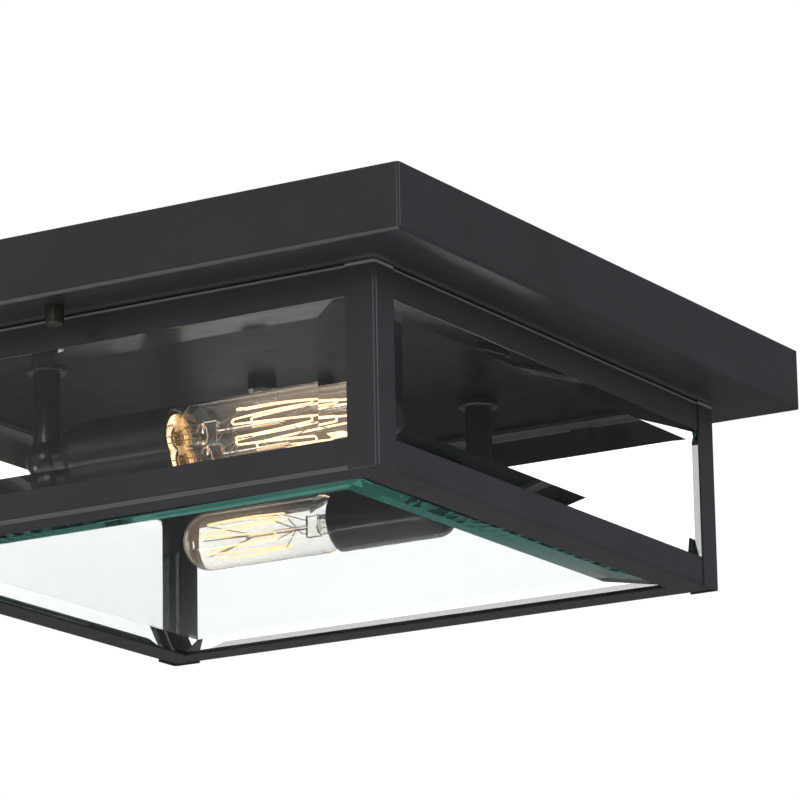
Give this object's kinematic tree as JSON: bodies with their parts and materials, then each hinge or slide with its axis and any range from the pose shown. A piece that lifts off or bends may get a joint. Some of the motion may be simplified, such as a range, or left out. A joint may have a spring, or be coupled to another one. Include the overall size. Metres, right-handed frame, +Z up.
{
  "type": "outdoor flush mount ceiling light",
  "caption": "Square flush mount porch light: black canopy tray over a bevelled-glass lantern with tubular bulbs lying head to tail; the housing lowers for relamping.",
  "frame": {"origin": "centre of the mounting strap's top face, in the plane of the ceiling", "axes": "+Z up into the ceiling, +X along the bulbs and the strap, -Y the front side"},
  "size_m": [0.4064, 0.4064, 0.1305],
  "materials": {
    "zinc": "bright zinc",
    "ground_green": "green",
    "fixture_black": "satin black",
    "cover_black": "satin black",
    "pan_black": "satin black",
    "canopy_black": "satin black",
    "frame_black": "satin black",
    "porcelain": "white glaze",
    "brass_parts": "rolled brass",
    "lead_black": "matt",
    "lead_white": "matt",
    "connector_orange": "matt",
    "pane_glass": "clear, polished bevels",
    "bronze_nuts": "dark bronze",
    "bulb_clear": "clear",
    "bulb_insulator": "black",
    "bulb_metal": "drawn wire",
    "filament": "glowing"
  },
  "bodies": {
    "ceiling_frame": {"mounting_strap": "zinc", "ground_screw": "ground_green", "center_nipple": "zinc", "strap_nut": "zinc", "pan_nut_upper": "zinc", "pan_nut_lower": "fixture_black", "inner_pan": "pan_black", "housing_studs": "zinc", "stem_front": "fixture_black", "stem_back": "fixture_black", "stem_collars": "fixture_black", "stem_nuts": "zinc", "stem_ball_front": "fixture_black", "stem_ball_back": "fixture_black", "socket_nipples": "zinc", "socket_nuts": "zinc", "socket_cover_front": "cover_black", "socket_cover_back": "cover_black", "socket_body_front": "porcelain", "socket_body_back": "porcelain", "screw_shell_front": "brass_parts", "screw_shell_back": "brass_parts", "center_contact_front": "brass_parts", "center_contact_back": "brass_parts", "live_leads": "lead_black", "neutral_leads": "lead_white", "wire_connectors": "connector_orange"},
    "housing": {"canopy_tray": "canopy_black", "post_front_right": "frame_black", "post_back_right": "frame_black", "post_back_left": "frame_black", "post_front_left": "frame_black", "top_rail_front": "frame_black", "top_rail_right": "frame_black", "top_rail_back": "frame_black", "top_rail_left": "frame_black", "bottom_rail_front": "frame_black", "bottom_rail_right": "frame_black", "bottom_rail_back": "frame_black", "bottom_rail_left": "frame_black", "pane_front": "pane_glass", "pane_right": "pane_glass", "pane_back": "pane_glass", "pane_left": "pane_glass", "pane_bottom": "pane_glass", "pane_clips": "frame_black"},
    "cap_nut_front": {"cap_nut_front": "bronze_nuts"},
    "cap_nut_back": {"cap_nut_back": "bronze_nuts"},
    "bulb_front": {"bulb_glass_front": "bulb_clear", "bulb_base_front": "brass_parts", "bulb_insulator_front": "bulb_insulator", "bulb_mount_front": "bulb_clear", "bulb_wires_front": "bulb_metal", "filament_front": "filament"},
    "bulb_back": {"bulb_glass_back": "bulb_clear", "bulb_base_back": "brass_parts", "bulb_insulator_back": "bulb_insulator", "bulb_mount_back": "bulb_clear", "bulb_wires_back": "bulb_metal", "filament_back": "filament"}
  },
  "joints": [
    {"name": "housing_drop", "type": "slide", "parent": "ceiling_frame", "child": "housing", "axis": [0, 0, -1], "range_m": [0, 0.12]},
    {"name": "cap_nut_front_turn", "type": "hinge", "parent": "housing", "child": "cap_nut_front", "pos_m": [0, -0.1855, -0.032], "axis": [0, 0, -1], "range_deg": [0, 2700]},
    {"name": "cap_nut_back_turn", "type": "hinge", "parent": "housing", "child": "cap_nut_back", "pos_m": [0, 0.1855, -0.032], "axis": [0, 0, -1], "range_deg": [0, 2700]},
    {"name": "bulb_front_turn", "type": "hinge", "parent": "ceiling_frame", "child": "bulb_front", "pos_m": [0.0119, -0.0916, -0.08], "axis": [1, 0, 0], "range_deg": [0, 990]},
    {"name": "bulb_back_turn", "type": "hinge", "parent": "ceiling_frame", "child": "bulb_back", "pos_m": [-0.0119, 0.0916, -0.08], "axis": [-1, 0, 0], "range_deg": [0, 990]}
  ]
}
